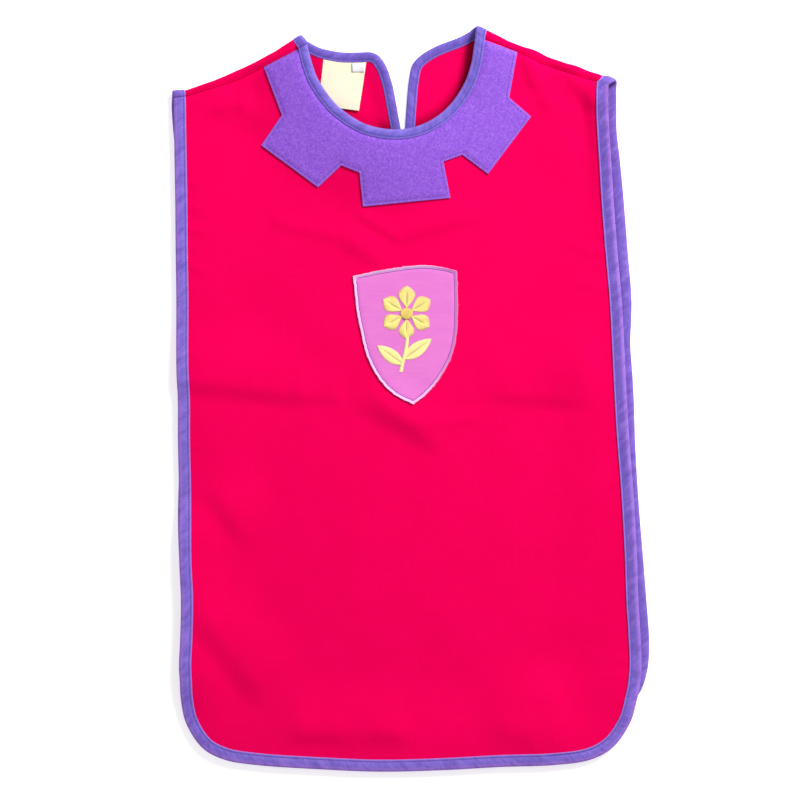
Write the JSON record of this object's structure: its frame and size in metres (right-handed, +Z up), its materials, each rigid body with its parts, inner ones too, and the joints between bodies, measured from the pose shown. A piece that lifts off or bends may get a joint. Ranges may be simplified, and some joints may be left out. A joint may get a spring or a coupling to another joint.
{
  "type": "child's tabard, laid flat",
  "caption": "Open-sided child's costume tabard laid flat, with a castellated felt collar, a shield patch on the chest and a rounded hem bound in folded tape.",
  "frame": {"origin": "on the surface that the garment lies on, under the middle of its outline", "axes": "+Z up out of the front side, +Y from the hem to the shoulders, +X to the right as seen from above"},
  "size_m": [0.4303, 0.6711, 0.0125],
  "materials": {
    "crimson_cloth": "smooth closely woven costume cloth with a soft sheen",
    "violet_tape": "folded satin-faced binding tape",
    "purple_felt": "matt felt with a heathered nap",
    "lilac_patch": "fine twill patch with an overcast edge",
    "cream_label": "smooth woven label",
    "yellow_thread": "satin-stitched embroidery thread"
  },
  "bodies": {
    "root": {"front_panel": "crimson_cloth", "back_panel": "crimson_cloth", "felt_collar": "purple_felt", "shield_patch": "lilac_patch", "neck_binding": "violet_tape", "edge_binding": "violet_tape", "neck_label": "cream_label", "size_tab": "cream_label"}
  },
  "joints": []
}
